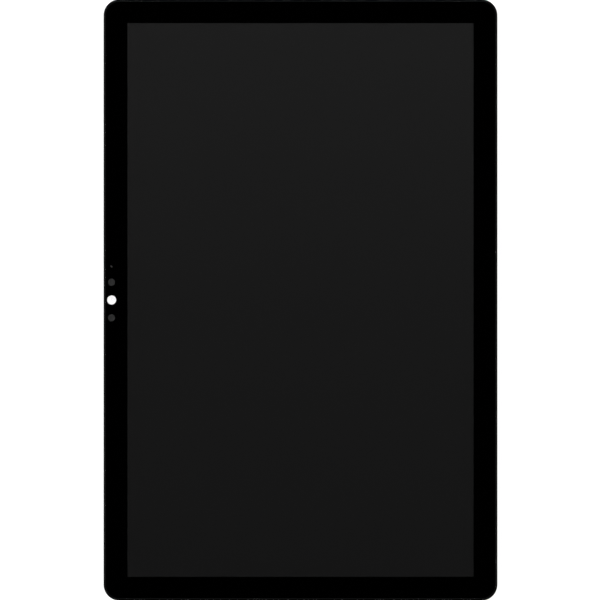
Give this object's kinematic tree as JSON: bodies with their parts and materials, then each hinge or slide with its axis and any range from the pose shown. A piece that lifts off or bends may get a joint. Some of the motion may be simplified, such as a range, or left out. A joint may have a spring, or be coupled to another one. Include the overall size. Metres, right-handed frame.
{
  "type": "tablet computer",
  "caption": "Slim flat tablet computer: black-bordered glass screen on a shallow metal shell, with side keys, a card tray, cameras, speakers, a charging port and its inner boards and battery.",
  "frame": {"origin": "middle of the flat rear face, which the tablet lies on", "axes": "+Z out of the screen, +Y along the long side, -X towards the long side with the front camera, keys and card tray; the charging port is on the +Y short side"},
  "size_m": [0.1606, 0.2454, 0.0074],
  "materials": {
    "graphite_metal": "fine bead-blasted, dark graphite anodised",
    "black_plastic": "satin black moulding",
    "cover_glass": "clear, polished",
    "border_ink": "deep black screen print",
    "sensor_ink": "dark grey infrared-passing print",
    "screen": "dark grey, switched off, a little lighter towards one short side",
    "white_film": "matt white film",
    "clear_acrylic": "clear acrylic with a fine dot pattern",
    "bare_steel": "bare sheet steel",
    "cast_magnesium": "die cast, blasted",
    "circuit_board": "green solder mask",
    "chip_black": "matt black epoxy",
    "flex_amber": "amber polyimide",
    "battery_wrap": "black foil",
    "white_plastic": "plain white moulding",
    "gold_contact": "gold-plated can"
  },
  "bodies": {
    "tablet": {"rear_cover": "graphite_metal", "front_rim": "black_plastic", "cover_glass": "cover_glass", "border_print": "border_ink", "sensor_window_upper": "sensor_ink", "sensor_window_lower": "sensor_ink", "display_panel": "screen", "diffuser_sheet": "white_film", "light_guide": "clear_acrylic", "reflector_sheet": "white_film", "led_bar": "white_plastic", "display_tray": "bare_steel", "mid_frame": "cast_magnesium", "main_board": "circuit_board", "processor": "chip_black", "memory_chip": "chip_black", "power_chip": "chip_black", "radio_chip": "chip_black", "processor_shield": "bare_steel", "radio_shield": "bare_steel", "battery_cell_upper": "battery_wrap", "battery_cell_lower": "battery_wrap", "battery_board": "circuit_board", "battery_lead": "black_plastic", "display_flex": "flex_amber", "main_flex": "flex_amber", "antenna_upper": "flex_amber", "antenna_lower": "flex_amber", "usb_board": "circuit_board", "usb_c_port": "bare_steel", "microphone": "gold_contact", "speaker_upper_left": "black_plastic", "speaker_upper_right": "black_plastic", "speaker_lower_left": "black_plastic", "speaker_lower_right": "black_plastic", "front_camera": "chip_black", "front_camera_shroud": "white_plastic", "front_camera_lens": "cover_glass", "sensor_board": "circuit_board", "light_sensor": "chip_black", "proximity_sensor": "chip_black", "status_light": "white_film", "rear_camera": "chip_black", "rear_camera_ring": "graphite_metal", "rear_camera_window": "cover_glass", "key_flex": "flex_amber", "power_switch": "bare_steel", "volume_up_switch": "bare_steel", "volume_down_switch": "bare_steel", "card_reader": "bare_steel", "screw_1": "bare_steel", "screw_2": "bare_steel", "screw_3": "bare_steel", "screw_4": "bare_steel", "screw_5": "bare_steel", "screw_6": "bare_steel"},
    "power_key": {"power_key": "graphite_metal"},
    "volume_key": {"volume_key": "graphite_metal"},
    "card_tray": {"card_tray": "graphite_metal"},
    "focus_barrel": {"rear_camera_barrel": "black_plastic"}
  },
  "joints": [
    {"name": "power_key_press", "type": "slide", "parent": "tablet", "child": "power_key", "axis": [1, 0, 0], "range_m": [0, 0.00025], "stiffness_N_per_m": 1500, "springref_m": -0.0002},
    {"name": "volume_key_rock", "type": "hinge", "parent": "tablet", "child": "volume_key", "pos_m": [-0.07875, 0.076, 0.00275], "axis": [0, 0, 1], "range_deg": [-1.2, 1.2], "stiffness_Nm_per_rad": 0.4},
    {"name": "card_tray_slide", "type": "slide", "parent": "tablet", "child": "card_tray", "axis": [-1, 0, 0], "range_m": [0, 0.026]},
    {"name": "focus_slide", "type": "slide", "parent": "tablet", "child": "focus_barrel", "axis": [0, 0, -1], "range_m": [0, 0.00025], "stiffness_N_per_m": 200, "springref_m": -0.0001}
  ]
}
